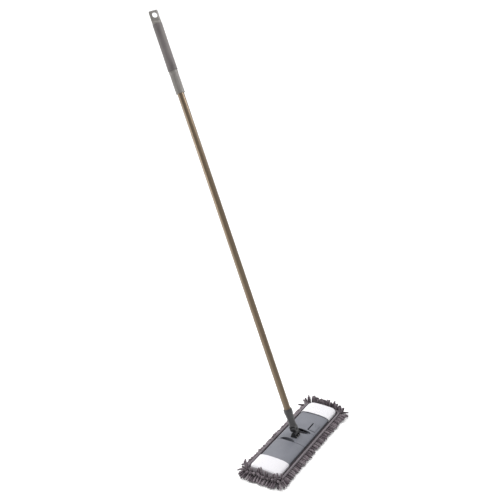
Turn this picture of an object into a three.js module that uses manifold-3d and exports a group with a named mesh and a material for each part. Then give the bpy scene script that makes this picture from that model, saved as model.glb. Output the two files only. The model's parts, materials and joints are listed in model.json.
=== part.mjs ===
// Flat dust mop: a telescopic pole on a two-way swivel joint, a folding plastic frame whose
// wings slip into the white end pockets of a chenille pad, and a foot pedal that frees the fold.
// Millimetres, +Z up. The origin is on the floor under the swivel joint, +X runs along the
// frame towards the pedal end, and the pole leans towards +Y.
import * as THREE from 'three';
import { mergeVertices } from 'three/addons/utils/BufferGeometryUtils.js';
import Module from 'manifold-3d';

const wasm = await Module();
wasm.setup();

// ---------------------------------------------------------------- driving dimensions

const GAP = 0.3; // between pieces that touch
const LEAN_SIDE = 24; // degrees, pole towards +Y
const LEAN_ALONG = 3.85; // degrees, pole towards +X

const FRAME = { halfLength: 200, halfWidth: 48, bottom: 15.2, edge: 18.6, crown: 28, wall: 2.4, corner: 14 };
const RIB = 1.6; // thickness of the ribs under the plates
const RIB_FOOT = 15.6; // height at which the ribs end
const BLOCK = { halfLength: 34.7, crown: 28.3, edge: 18.9, ribX: 16.2, ribY: 15.2 };
const WING_START = 35.8;
const WING_RIBS = { x: [70, 102, 136, 168], y: [-16, 16] };

// Openings over the folds, as half ellipses cut into the block and into the wing.
const CRESCENTS = {
  far: { block: 16.5, wing: 7.5, half: 35, shift: 0 },
  near: { block: 14, wing: 1, half: 24, shift: -12 },
};
const FOLD_WINDOW = { halfWidth: 26, low: 17.4, lip: 1.1 };
const FOLD = { x: 35.2, z: 18, barrel: 2.9, pin: 1.3, relief: 4.4, halfAngle: 42, sweep: 0.5 };
// Where the block's and the wing's hinge barrels and their pins lie along the fold.
const BLOCK_BARREL = [33.5, 38];
const WING_BARREL = [38.5, 43];
const HINGE_PIN = [32.9, 43.6];

const PEDAL = { x: [50, 88], y: [-42, -21.2], pivotX: 59, pivotZ: 20.2, pin: 1.2, thick: 2.6, lift: 0.5 };
const PEDAL_WELL = { x: [47.6, 88.9], y: [-42.9, -16.2], floor: 17, wall: 1.7 };
const PEDAL_HUB = { radius: 2.3, half: 2, inset: 1 };
const NOSE = { y: [-28, -24.4], z: [20.6, 22.6] }; // the pedal's tongue at the fold
const SPRING = { x: 81, y: -31, radius: 2.6, wire: 0.3, turns: 4, height: 6 };

const PAD = { halfLength: 212, halfWidth: 61, corner: 18, bottom: 12.2, top: 14.7 };
const BINDING = { halfLength: 206, halfWidth: 55, corner: 13, top: 19.5 };
const PILE = { halfLength: 234, halfWidth: 80, corner: 30, top: 11.9, topX: 0.91, topY: 0.775 };
const POCKET = { start: 138, end: 204, skin: 1.3 };

const SWIVEL = { z: 38, pin: 2.9, ear: 6.8, foot: 8.8, earInner: 9.4, earOuter: 14, forkRise: 12.5 };
const PIN_HEAD = { radius: 4.3, thick: 1.2 };
const TRAY = { halfX: 15.6, halfY: 10.6, corner: 4, floor: 25.9, wall: 1.8 };
const BRACKET = { halfX: 15.2, halfY: 10.2, corner: 3.6, thick: 2.6 };
const SCREW = { x: 6.2, y: 6.9, shank: 1.4, head: 2.5, seat: 1.2, headHeight: 1.1, slot: 0.25, foot: 21.2 };
const KNUCKLE = { barrel: 6.6, barrelHalf: 9, eye: 7.8, eyeHalf: 6, web: 6.4 };
const FORK = { slot: 6.4, earOuter: 10.6, ear: 8, crotch: 9.6 };

// Stations along the pole, from the fork pin up.
const TUBE = { outer: 10.5, wall: 0.8, bottom: 47.5, top: 1108.5 };
const INNER = { outer: 8.9, wall: 0.8, bottom: 648.5, top: 1302 };
const FERRULE = { top: 67, rim: 13.7, waist: 11, foot: 11.8, socket: 21.5, socketBore: 8.6 };
const THREAD = { bottom: 23, first: 24.5, pitch: 5, turns: 4, crest: 8.2, root: 7.2 };
const PLUG_DEPTH = 32;
const BUSH = { bottom: 1090, step: 1112.5, top: 1150, slitFrom: 1118.5, slit: 0.6 };
const COLLAR = { bottom: 1085, top: 1155.5, radius: 13.6, bore: 12.7, lip: 3.5 };
const GRIP = { bottom: 1156, top: 1300, radius: 15, core: 13, waist: 0.4, edge: 1.4 };
const CAP = {
  top: 1341, width: 28.6, thick: 9.2, oval: 0.4, hole: 8.5, holeDrop: 14.2, holeSide: -1.5,
  corner: 5, turn: 50, spigot: 22,
};

const ROUND = 24; // sides of the tubes
const PLAIN = 28; // sides of the swivel's barrels and eyes
const SMALL = 16; // sides of pins and bores
const TALL = 60; // above every plate
const WIDE = 300; // beyond every plate

// ---------------------------------------------------------------- materials

const paint = (hex, roughness, metalness = 0) =>
  new THREE.MeshStandardMaterial({ color: hex, roughness, metalness });
const looks = {
  bronze: paint(0x8b7a66, 0.32, 0.9),
  black: paint(0x262628, 0.45),
  steel: paint(0xb4b4b2, 0.3, 1),
  greyPlastic: paint(0x8f9096, 0.45),
  darkPlastic: paint(0x4a4c4d, 0.5),
  capPlastic: paint(0x8b8984, 0.5),
  rubber: paint(0x6d6464, 0.8),
  chenille: paint(0x6b5f66, 0.95),
  binding: paint(0x857a80, 0.9),
  white: paint(0xf4f2f6, 0.9),
};

// ---------------------------------------------------------------- solids

const { degToRad } = THREE.MathUtils;
const X = new THREE.Vector3(1, 0, 0);
const Y = new THREE.Vector3(0, 1, 0);
const Z = new THREE.Vector3(0, 0, 1);

// A closed geometry as a solid that can be joined and cut.
function solid(geometry) {
  const bare = geometry.clone();
  bare.deleteAttribute('normal');
  bare.deleteAttribute('uv');
  const merged = mergeVertices(bare, 1e-4);
  return new wasm.Manifold(new wasm.Mesh({
    numProp: 3,
    vertProperties: merged.attributes.position.array,
    triVerts: new Uint32Array(merged.index.array),
  }));
}

const join = (first, ...rest) => rest.reduce((made, next) => made.add(next), first);
const cut = (first, ...rest) => rest.reduce((made, next) => made.subtract(next), first);

// A box from [low, high] along each axis.
function box([x0, x1], [y0, y1], [z0, z1]) {
  const geometry = new THREE.BoxGeometry(x1 - x0, y1 - y0, z1 - z0);
  return solid(geometry.translate((x0 + x1) / 2, (y0 + y1) / 2, (z0 + z1) / 2));
}

// A cylinder along an axis, with its centre line at the other two coordinates.
function rod(axis, radius, [from, to], [u, v] = [0, 0], sides = SMALL) {
  const geometry = new THREE.CylinderGeometry(radius, radius, to - from, sides);
  const middle = (from + to) / 2;
  if (axis === 'x') return solid(geometry.rotateZ(-Math.PI / 2).translate(middle, u, v));
  if (axis === 'y') return solid(geometry.translate(u, middle, v));
  return solid(geometry.rotateX(Math.PI / 2).translate(u, v, middle));
}

const outline = (points) => new THREE.Shape(points.map(([a, b]) => new THREE.Vector2(a, b)));
const extrude = (shape, depth, curveSegments = 6) =>
  new THREE.ExtrudeGeometry(shape, { depth, bevelEnabled: false, curveSegments });

// Prisms along each axis: a Y-Z outline along X, an X-Z outline along Y, an X-Y outline along Z.
const prismX = (shape, [x0, x1]) =>
  solid(extrude(shape, x1 - x0).applyMatrix4(new THREE.Matrix4().makeBasis(Y, Z, X)).translate(x0, 0, 0));
const prismY = (shape, [y0, y1]) =>
  solid(extrude(shape, y1 - y0)
    .applyMatrix4(new THREE.Matrix4().makeBasis(X, Z, Y.clone().negate())).translate(0, y1, 0));
const prismZ = (shape, [z0, z1]) => solid(extrude(shape, z1 - z0).translate(0, 0, z0));

// A body of revolution about Z from [radius, z] points, listed anticlockwise.
const turnedGeometry = (points, sides) =>
  new THREE.LatheGeometry(points.map(([r, z]) => new THREE.Vector2(r, z)), sides).rotateX(Math.PI / 2);
const turned = (points, sides = ROUND) => solid(turnedGeometry(points, sides));

// A plain tube about Z.
const sleeve = (outer, inner, [z0, z1], sides = ROUND) =>
  turned([[inner, z0], [outer, z0], [outer, z1], [inner, z1], [inner, z0]], sides);

function roundedRectangle(halfX, halfY, r) {
  const shape = new THREE.Shape();
  shape.absarc(halfX - r, halfY - r, r, 0, Math.PI / 2);
  shape.absarc(-halfX + r, halfY - r, r, Math.PI / 2, Math.PI);
  shape.absarc(-halfX + r, -halfY + r, r, Math.PI, 1.5 * Math.PI);
  shape.absarc(halfX - r, -halfY + r, r, 1.5 * Math.PI, 2 * Math.PI);
  shape.closePath();
  return shape;
}

function piece(name, made, look, parent) {
  const { vertProperties, triVerts } = made.getMesh();
  const geometry = new THREE.BufferGeometry();
  geometry.setAttribute('position', new THREE.BufferAttribute(vertProperties, 3));
  geometry.setIndex(new THREE.BufferAttribute(triVerts, 1));
  geometry.computeVertexNormals();
  const mesh = new THREE.Mesh(geometry, look);
  mesh.name = name;
  parent.add(mesh);
}

// ---------------------------------------------------------------- frame plates

// The plates' cross-section: a flat crown with steep shoulders, as a superellipse whose points
// crowd towards the shoulders.
function crownSection({ halfWidth, bottom, edge, crown }) {
  const steps = 8;
  const power = 0.77;
  const crowding = 1.6;
  const points = [[-halfWidth, bottom], [halfWidth, bottom]];
  for (let i = steps; i >= -steps; i -= 1) {
    const fromEdge = (Math.PI / 2) * (1 - Math.abs(i) / steps) ** crowding;
    const across = Math.sign(i) * Math.cos(fromEdge) ** power;
    points.push([halfWidth * across, edge + (crown - edge) * Math.sin(fromEdge) ** power]);
  }
  return outline(points);
}

// The section of a plate's inside, by further in than its skin and open at the bottom.
const inside = (section, by) => ({
  halfWidth: section.halfWidth - by,
  bottom: section.bottom - 5,
  edge: section.edge - by,
  crown: section.crown - by,
});

const widened = ([from, to], by) => [from - by, to + by];
const mirrored = ([from, to]) => [-to, -from];
const bothSides = (range, make) => join(make(range), make(mirrored(range)));
const bothFolds = (made) => join(made, made.rotate([0, 0, 180]));
const foldRod = (radius, range) => bothSides(range, (r) => rod('y', radius, r, [FOLD.x, FOLD.z]));

// An upright elliptical cutter, centred on a fold.
function foldEllipse(depth, { half, shift }, grow = 0) {
  const sides = 36;
  const rim = Array.from({ length: sides }, (_, i) => {
    const angle = (2 * Math.PI * i) / sides;
    return [FOLD.x + (depth + grow) * Math.cos(angle), shift + (half + grow) * Math.sin(angle)];
  });
  return prismZ(outline(rim), [0, TALL]);
}

// The wedge that each fold needs below its axis, so that the two sides can close up.
function foldWedge() {
  const half = 0.5;
  const low = -1;
  const spread = half + (FOLD.z - low) * Math.tan(degToRad(FOLD.halfAngle));
  return prismY(outline([
    [FOLD.x - half, TALL], [FOLD.x - half, FOLD.z], [FOLD.x - spread, low],
    [FOLD.x + spread, low], [FOLD.x + half, FOLD.z], [FOLD.x + half, TALL],
  ]), [-WIDE, WIDE]);
}

// The far wing; the near one is the same turned half round, without the pedal's well.
function wing(opening, withPedal) {
  const { halfLength, halfWidth, wall, corner } = FRAME;
  const plan = (by) => prismZ(roundedRectangle(halfLength - by, halfWidth - by, corner - by), [0, TALL]);
  const skin = prismX(crownSection(FRAME), [WING_START, halfLength]).intersect(plan(0));
  const inner = (by) => cut(
    prismX(crownSection(inside(FRAME, by)), [WING_START + by, halfLength - by]).intersect(plan(by)),
    foldEllipse(opening.wing, opening, by),
  );
  const skinMiddle = inner(wall / 2);
  const ribAt = (v) => [v - RIB / 2, v + RIB / 2];
  const bars = join(
    ...WING_RIBS.x.map((x) => box(ribAt(x), [-WIDE, WIDE], [RIB_FOOT, TALL])),
    ...WING_RIBS.y.map((y) => box([WING_START, halfLength], ribAt(y), [RIB_FOOT, TALL])),
  ).intersect(skinMiddle);
  const shell = cut(
    join(cut(skin, inner(wall)), bars),
    foldEllipse(opening.wing, opening),
    foldRod(FOLD.barrel + FOLD.sweep, widened(BLOCK_BARREL, FOLD.sweep)),
    foldWindow(opening),
  );
  const made = withPedal ? pedalWell(shell, skinMiddle) : shell;
  return cut(join(made, foldRod(FOLD.barrel, WING_BARREL)), foldRod(FOLD.pin + GAP, widened(HINGE_PIN, 1)));
}

// The opening in a wing's end wall, behind the block's crescent.
function foldWindow(opening) {
  const { halfWidth, low, lip } = FOLD_WINDOW;
  const endWall = [WING_START - 1, FOLD.x + opening.wing + FRAME.wall + 0.5];
  return prismX(crownSection(inside(FRAME, lip)), endWall)
    .intersect(box([0, WIDE], [-halfWidth, halfWidth], [low, TALL]));
}

// A well with a floor under the pedal, bored for its pin, and a slot for its nose.
function pedalWell(made, within) {
  const { x, y, floor, wall } = PEDAL_WELL;
  const tub = box(widened(x, wall), widened(y, wall), [RIB_FOOT, TALL]).intersect(within);
  const swing = 2.9; // room for the nose to rise
  const slot = box([WING_START - 1, x[1] - 1], widened(NOSE.y, 0.6), [NOSE.z[0] - 0.8, NOSE.z[1] + swing]);
  const bore = rod('y', PEDAL.pin + GAP, widened(y, 1.4), [PEDAL.pivotX, PEDAL.pivotZ]);
  return cut(join(made, tub), box(x, y, [floor, TALL]), slot, bore);
}

// The middle of the frame: crowned shell, tray for the swivel's bracket, crescents over the folds.
function centreBlock() {
  const { halfLength, ribX, ribY } = BLOCK;
  const { wall } = FRAME;
  const section = { ...FRAME, crown: BLOCK.crown, edge: BLOCK.edge };
  const crescents = (grow) => join(
    foldEllipse(CRESCENTS.far.block, CRESCENTS.far, grow),
    foldEllipse(CRESCENTS.near.block, CRESCENTS.near, grow).rotate([0, 0, 180]),
  );
  const inner = (by) => prismX(crownSection(inside(section, by)), [by - halfLength, halfLength - by]);
  const skin = prismX(crownSection(section), [-halfLength, halfLength]);
  const hollow = cut(inner(wall), crescents(wall));
  const ribs = join(
    bothSides([ribX - RIB / 2, ribX + RIB / 2], (r) => box(r, [-WIDE, WIDE], [RIB_FOOT, TALL])),
    bothSides([ribY - RIB / 2, ribY + RIB / 2], (r) => box([-WIDE, WIDE], r, [RIB_FOOT, TALL])),
  );
  const dish = (grow, z) =>
    prismZ(roundedRectangle(TRAY.halfX + grow, TRAY.halfY + grow, TRAY.corner), z);
  const inserts = join(ribs, dish(TRAY.wall, [TRAY.floor - TRAY.wall, TALL])).intersect(inner(wall / 2));
  const belowFold = box([-WIDE, WIDE], [-WIDE, WIDE], [0, FOLD.z + 0.2]);
  const shell = cut(
    join(cut(skin, hollow), inserts),
    crescents(0),
    dish(0, [TRAY.floor, TALL]),
    bothFolds(rod('y', FOLD.relief, [-WIDE, WIDE], [FOLD.x, FOLD.z], PLAIN).intersect(belowFold)),
    bothFolds(foldRod(FOLD.barrel + FOLD.sweep, widened(WING_BARREL, FOLD.sweep))),
  );
  const armFrom = 28;
  const arms = bothSides(BLOCK_BARREL, (r) =>
    box([armFrom, FOLD.x], r, [FOLD.z - 0.6, FOLD.z + FOLD.barrel]));
  return cut(
    join(shell, bothFolds(join(foldRod(FOLD.barrel, BLOCK_BARREL), arms))),
    bothFolds(foldRod(FOLD.pin + GAP, widened(HINGE_PIN, 1))),
    ...screwPlaces.map((at) => rod('z', SCREW.shank + GAP, [SCREW.foot - 1, TALL], at)),
  );
}

// ---------------------------------------------------------------- swivel bracket

const screwPlaces = [[-1, -1], [1, -1], [-1, 1], [1, 1]]
  .map(([i, j]) => [i * SCREW.x, j * SCREW.y]);
const BRACKET_LOW = TRAY.floor + GAP;
const SCREW_SEAT = BRACKET_LOW + SCREW.seat;

// Black base of the swivel: a plate in the block's tray with two ears for the base pin.
function swivelBracket() {
  const { halfX, halfY, corner, thick } = BRACKET;
  const { ear, foot, earInner, earOuter, pin, z } = SWIVEL;
  const plate = prismZ(roundedRectangle(halfX, halfY, corner), [BRACKET_LOW, BRACKET_LOW + thick]);
  const side = outline([[-foot, BRACKET_LOW + 1], [foot, BRACKET_LOW + 1], [ear, z], [-ear, z]]);
  const ears = bothSides([earInner, earOuter], (span) =>
    join(rod('x', ear, span, [0, z], PLAIN), prismX(side, span)));
  return cut(
    join(plate, ears),
    rod('x', pin + GAP, [-WIDE, WIDE], [0, z]),
    ...screwPlaces.map((at) => join(
      rod('z', SCREW.shank + GAP, [0, TALL], at),
      rod('z', SCREW.head + GAP, [SCREW_SEAT, SCREW_SEAT + thick], at),
    )),
  );
}

// Sunk-headed screw with a cross recess.
function bracketScrew() {
  const { shank, head, headHeight, slot, foot } = SCREW;
  const low = SCREW_SEAT + GAP;
  const top = low + headHeight;
  const recess = [top - 0.7, TALL];
  const reach = 0.6 * head;
  return cut(
    join(
      turned([[0, low], [head, low], [head, top - 0.3], [head - 0.4, top], [0, top]], SMALL),
      rod('z', shank, [foot, low + 0.5]),
    ),
    box([-reach, reach], [-slot, slot], recess),
    box([-slot, slot], [-reach, reach], recess),
  );
}

// ---------------------------------------------------------------- foot pedal

// A seesaw plate: its outer end is pressed, and its nose reaches to the fold.
function pedal() {
  const { x, y, pivotX, pivotZ, thick, pin, lift } = PEDAL;
  const raised = { ...FRAME, edge: FRAME.edge + lift, crown: FRAME.crown + lift };
  const plate = prismX(crownSection(raised), x).intersect(box(x, y, [0, TALL]));
  const under = prismX(crownSection({ ...inside(raised, thick), bottom: 0 }), [0, WIDE]);
  const { radius, half, inset } = PEDAL_HUB;
  const hubSpan = [y[0] + inset, y[1] - inset];
  const hub = join(
    rod('y', radius, hubSpan, [pivotX, pivotZ]),
    box([pivotX - half, pivotX + half], hubSpan, [pivotZ, TALL]).intersect(plate),
  );
  const arm = box([WING_START + 0.6, pivotX], NOSE.y, NOSE.z);
  const web = box([x[0] + 0.2, pivotX], NOSE.y, [NOSE.z[0], TALL]).intersect(plate);
  return cut(
    join(cut(plate, under), hub, arm, web),
    rod('y', pin + GAP, [-TALL, 0], [pivotX, pivotZ]),
  );
}

class Helix extends THREE.Curve {
  constructor(radius, turns, height) {
    super();
    Object.assign(this, { radius, turns, height });
  }

  getPoint(t) {
    const angle = 2 * Math.PI * this.turns * t;
    return new THREE.Vector3(this.radius * Math.cos(angle), this.radius * Math.sin(angle), this.height * t);
  }
}

function pedalSpring() {
  const { x, y, radius, wire, turns, height } = SPRING;
  const section = new THREE.Shape().absarc(0, 0, wire, 0, 2 * Math.PI);
  const stepsPerTurn = 14;
  const coil = new THREE.ExtrudeGeometry(section, {
    extrudePath: new Helix(radius, turns, height),
    steps: turns * stepsPerTurn,
    curveSegments: 4,
    bevelEnabled: false,
  });
  return solid(coil.translate(x, y, PEDAL_WELL.floor + wire + 0.1));
}

// ---------------------------------------------------------------- pad

// Each layer of the pad in three lengths, parted at the folds.
function parted(layer) {
  const farWedge = foldWedge();
  const open = cut(layer, farWedge, farWedge.rotate([0, 0, 180]));
  const part = (range) => open.intersect(box(range, [-WIDE, WIDE], [-1, TALL]));
  return { near: part([-WIDE, -FOLD.x]), centre: part([-FOLD.x, FOLD.x]), far: part([FOLD.x, WIDE]) };
}

function backing() {
  return prismZ(roundedRectangle(PAD.halfLength, PAD.halfWidth, PAD.corner), [PAD.bottom, PAD.top]);
}

function bindingRing() {
  const base = PAD.top + GAP;
  return cut(
    prismZ(roundedRectangle(PAD.halfLength, PAD.halfWidth, PAD.corner), [base, BINDING.top]),
    prismZ(roundedRectangle(BINDING.halfLength, BINDING.halfWidth, BINDING.corner), [base - 1, TALL]),
  );
}

// The tufts as one block whose sides slope out to the floor.
function pile() {
  const { halfLength, halfWidth, corner, top, topX, topY } = PILE;
  const block = extrude(roundedRectangle(halfLength, halfWidth, corner), top);
  const place = block.attributes.position;
  for (let i = 0; i < place.count; i += 1) {
    if (place.getZ(i) > top / 2) place.setXY(i, place.getX(i) * topX, place.getY(i) * topY);
  }
  return solid(block);
}

// The white sleeve over a wing's end, open towards the joint and underneath.
function pocket() {
  const { start, end, skin } = POCKET;
  const { halfLength, halfWidth, corner, edge, crown } = FRAME;
  const section = (by, bottom) =>
    crownSection({ halfWidth: halfWidth + by, bottom, edge: edge + by, crown: crown + by });
  const plan = (length, by, r) => prismZ(roundedRectangle(length, halfWidth + by, r), [-1, TALL]);
  const body = prismX(section(GAP + skin, PAD.top + GAP), [start, end])
    .intersect(plan(end, GAP + skin, corner + 1));
  const room = prismX(section(GAP, 0), [start - 1, halfLength + GAP])
    .intersect(plan(halfLength + GAP, GAP, corner));
  return cut(body, room);
}

// ---------------------------------------------------------------- swivel joint

function knuckle() {
  const { barrel, barrelHalf, eye, eyeHalf, web } = KNUCKLE;
  return cut(
    join(
      rod('x', barrel, [-barrelHalf, barrelHalf], [0, 0], PLAIN),
      rod('y', eye, [-eyeHalf, eyeHalf], [0, SWIVEL.forkRise], PLAIN),
      box([-web, web], [-eyeHalf, eyeHalf], [0, SWIVEL.forkRise]),
    ),
    rod('x', SWIVEL.pin + GAP, [-WIDE, WIDE]),
    rod('y', SWIVEL.pin + GAP, [-WIDE, WIDE], [0, SWIVEL.forkRise]),
  );
}

// A pin with a flat head at each end.
function headedPin(axis, half, [u, v] = [0, 0]) {
  const { radius, thick } = PIN_HEAD;
  const heads = bothSides([half, half + thick], (span) => rod(axis, radius, span, [u, v]));
  return join(rod(axis, SWIVEL.pin, [-half, half], [u, v]), heads);
}

// Tapered socket for the pole, ending in a fork.
function ferrule() {
  const { top, rim, waist, foot, socket, socketBore } = FERRULE;
  const { crotch, ear, slot, earOuter } = FORK;
  const bore = TUBE.outer + GAP;
  const body = turned([
    [0, crotch], [foot - 0.9, crotch], [foot, crotch + 1], [foot, 15], [waist, socket],
    [waist + 0.4, 36], [waist + 1.6, 49], [rim - 0.4, 54], [rim, 56], [rim, top - 1.2], [rim - 0.7, top],
    [bore, top], [bore, TUBE.bottom - 1], [socketBore, TUBE.bottom - 1], [socketBore, socket], [0, socket],
  ]);
  const ears = bothSides([slot, earOuter], (span) => join(
    rod('y', ear, span, [0, 0], PLAIN),
    box([-ear, ear], span, [0, crotch + 1.5]),
  ));
  return cut(join(body, ears), rod('y', SWIVEL.pin + GAP, [-WIDE, WIDE]));
}

// Threaded end of the pole: a plug pressed into the tube, over a coarse round thread.
function threadPlug() {
  const { bottom, first, pitch, turns, crest, root } = THREAD;
  const inTube = TUBE.outer - TUBE.wall - GAP;
  const top = TUBE.bottom + PLUG_DEPTH;
  const thread = Array.from({ length: turns }, (_, i) => {
    const z = first + i * pitch;
    return [[root, z], [crest, z + 1.6], [crest, z + 2.4], [root, z + 4]];
  }).flat();
  return turned([
    [0, bottom], [root - 0.8, bottom], ...thread, [root, TUBE.bottom - 0.5],
    [inTube, TUBE.bottom + GAP], [inTube, top], [0, top],
  ], SMALL);
}

// ---------------------------------------------------------------- telescopic pole

// Split bush on the end of the outer tube, squeezed on the inner tube by the collar.
function clampBush() {
  const { bottom, step, top, slitFrom, slit } = BUSH;
  const outerBore = TUBE.outer + GAP;
  const innerBore = INNER.outer + GAP;
  const outer = 12.3;
  const bush = turned([
    [outerBore, bottom], [outer, bottom], [outer, step], [outer - 0.7, top], [innerBore, top],
    [innerBore, TUBE.top + GAP], [outerBore, TUBE.top + GAP], [outerBore, bottom],
  ]);
  const slits = [0, 60, 120].map((turn) =>
    box([-WIDE, WIDE], [-slit, slit], [slitFrom, top + 1]).rotate([0, 0, turn]));
  return cut(bush, ...slits);
}

function lockCollar() {
  const { bottom, top, radius, bore, lip } = COLLAR;
  const tubeBore = TUBE.outer + GAP;
  return turned([
    [tubeBore, bottom], [radius - 0.9, bottom], [radius + 0.3, bottom + 1.4], [radius + 0.3, bottom + 7],
    [radius - 0.1, bottom + 11], [radius - 0.2, top - 12], [radius, top - 1], [radius - 0.8, top],
    [bore, top], [bore, bottom + lip], [tubeBore, bottom + lip], [tubeBore, bottom],
  ]);
}

function gripSleeve() {
  const { bottom, top, radius, core, waist, edge } = GRIP;
  const bore = core + GAP;
  const steps = 4;
  const points = [[bore, bottom], [radius - 0.8, bottom]];
  for (let i = 0; i <= steps; i += 1) {
    const share = i / steps;
    const z = bottom + edge + (top - bottom - 2 * edge) * share;
    points.push([radius - waist * Math.sin(Math.PI * share), z]);
  }
  points.push([radius - 0.8, top], [bore, top], [bore, bottom]);
  return turned(points);
}

// The plug that closes the inner tube's lower end and runs in the outer one.
function tubeGuide() {
  const outer = TUBE.outer - TUBE.wall - GAP;
  const inner = INNER.outer - INNER.wall - GAP;
  const seat = INNER.bottom - GAP;
  const end = INNER.bottom - 10;
  const top = INNER.bottom + 20;
  return turned([[0, end], [outer, end], [outer, seat], [inner, seat], [inner, top], [0, top]]);
}

// An upright round bar that is pressed oval above a station, to a share of its thickness along X.
function pressedBar(radius, [low, top], [from, to], share) {
  const sides = 40;
  const rings = 12;
  const wall = Array.from({ length: rings + 1 }, (_, i) => [radius, low + ((top - low) * i) / rings]);
  const bar = turnedGeometry([[0, low], ...wall, [0, top]], sides);
  const place = bar.attributes.position;
  for (let i = 0; i < place.count; i += 1) {
    const pressed = 1 + (share - 1) * THREE.MathUtils.smoothstep(place.getZ(i), from, to);
    place.setX(i, place.getX(i) * pressed);
  }
  return solid(bar);
}

// Hanging cap: round where it meets the grip, oval with two flats around the hanging hole.
function hangCap() {
  const { top, width, thick, oval, hole, holeDrop, holeSide, corner, spigot } = CAP;
  const half = width / 2;
  const face = thick / 2;
  const low = GRIP.top + GAP;
  const chamfer = 2;
  const side = new THREE.Shape();
  side.moveTo(-half, low);
  side.lineTo(half, low);
  side.lineTo(half, low + 2);
  side.bezierCurveTo(half, low + 7, face, low + 4, face, low + 11);
  side.lineTo(face, top - chamfer);
  side.lineTo(face - chamfer, top);
  side.lineTo(-face + chamfer, top);
  side.lineTo(-face, top - chamfer);
  side.lineTo(-face, low + 11);
  side.bezierCurveTo(-face, low + 4, -half, low + 7, -half, low + 2);
  side.closePath();
  const front = new THREE.Shape();
  front.moveTo(-half, low);
  front.lineTo(half, low);
  front.lineTo(half, top - corner);
  front.absarc(half - corner, top - corner, corner, 0, Math.PI / 2);
  front.absarc(-half + corner, top - corner, corner, Math.PI / 2, Math.PI);
  front.closePath();
  const upright = (radius, range) => rod('z', radius, range, [0, 0], ROUND);
  const inTube = INNER.outer - INNER.wall - GAP;
  const body = prismX(front, [-half, half])
    .intersect(prismY(side, [-half, half]))
    .intersect(pressedBar(half, [low, top], [low + 2, low + 12], oval));
  const seat = cut(upright(GRIP.core + 0.2, [low - 1, INNER.top + GAP]), upright(inTube, [low - 2, top]));
  return cut(
    join(cut(body, seat), upright(inTube, [low - spigot, low + 1])),
    rod('x', hole, [-WIDE, WIDE], [holeSide, top - holeDrop], PLAIN),
  );
}

// ---------------------------------------------------------------- assembly

const mop = new THREE.Group();

piece('centre_block', centreBlock(), looks.greyPlastic, mop);
piece('swivel_bracket', swivelBracket(), looks.black, mop);
screwPlaces.forEach(([x, y], i) =>
  piece(`bracket_screw_${i + 1}`, bracketScrew().translate(x, y, 0), looks.steel, mop));
piece('far_wing', wing(CRESCENTS.far, true), looks.greyPlastic, mop);
piece('near_wing', wing(CRESCENTS.near, false).rotate([0, 0, 180]), looks.greyPlastic, mop);
for (const [end, side] of [['far', 1], ['near', -1]]) {
  for (const [name, range] of [['left', HINGE_PIN], ['right', mirrored(HINGE_PIN)]]) {
    const pin = rod('y', FOLD.pin, range, [side * FOLD.x, FOLD.z]);
    piece(`${end}_hinge_pin_${name}`, pin, looks.steel, mop);
  }
}

piece('release_pedal', pedal(), looks.greyPlastic, mop);
const pedalPin = rod('y', PEDAL.pin, widened(PEDAL_WELL.y, 1.2), [PEDAL.pivotX, PEDAL.pivotZ]);
piece('pedal_pin', pedalPin, looks.steel, mop);
piece('pedal_spring', pedalSpring(), looks.steel, mop);

const layers = { pad: [parted(backing()), looks.binding], pile: [parted(pile()), looks.chenille] };
for (const [layer, [parts, look]] of Object.entries(layers)) {
  for (const [end, made] of Object.entries(parts)) piece(`${layer}_${end}`, made, look, mop);
}
const ring = parted(bindingRing());
const half = (y) => ring.centre.intersect(box([-WIDE, WIDE], y, [0, TALL]));
piece('binding_near', ring.near, looks.binding, mop);
piece('binding_far', ring.far, looks.binding, mop);
piece('binding_centre_left', half([0, WIDE]), looks.binding, mop);
piece('binding_centre_right', half([-WIDE, 0]), looks.binding, mop);
piece('pocket_far', pocket(), looks.white, mop);
piece('pocket_near', pocket().rotate([0, 0, 180]), looks.white, mop);

const swivel = new THREE.Group();
swivel.position.z = SWIVEL.z;
swivel.rotation.x = -degToRad(LEAN_SIDE);
mop.add(swivel);
piece('base_pin', headedPin('x', SWIVEL.earOuter + GAP, [0, SWIVEL.z]), looks.black, mop);
piece('knuckle', knuckle(), looks.black, swivel);

const pole = new THREE.Group();
pole.position.z = SWIVEL.forkRise;
pole.rotation.y = degToRad(LEAN_ALONG);
swivel.add(pole);
piece('ferrule', ferrule(), looks.darkPlastic, pole);
piece('fork_pin', headedPin('y', FORK.earOuter + GAP), looks.black, pole);
piece('thread_plug', threadPlug(), looks.darkPlastic, pole);
piece('outer_tube', sleeve(TUBE.outer, TUBE.outer - TUBE.wall, [TUBE.bottom, TUBE.top]), looks.bronze, pole);
piece('clamp_bush', clampBush(), looks.darkPlastic, pole);
piece('lock_collar', lockCollar(), looks.capPlastic, pole);
piece('inner_tube', sleeve(INNER.outer, INNER.outer - INNER.wall, [INNER.bottom, INNER.top]),
  looks.bronze, pole);
piece('inner_tube_guide', tubeGuide(), looks.darkPlastic, pole);
piece('grip_core', sleeve(GRIP.core, INNER.outer + GAP, [GRIP.bottom, GRIP.top]), looks.darkPlastic, pole);
piece('grip_sleeve', gripSleeve(), looks.rubber, pole);
piece('hang_cap', hangCap().rotate([0, 0, CAP.turn]), looks.capPlastic, pole);

export default mop;
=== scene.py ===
import json
import math
import random

import bpy
import numpy as np
from mathutils import Matrix, Vector


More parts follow.
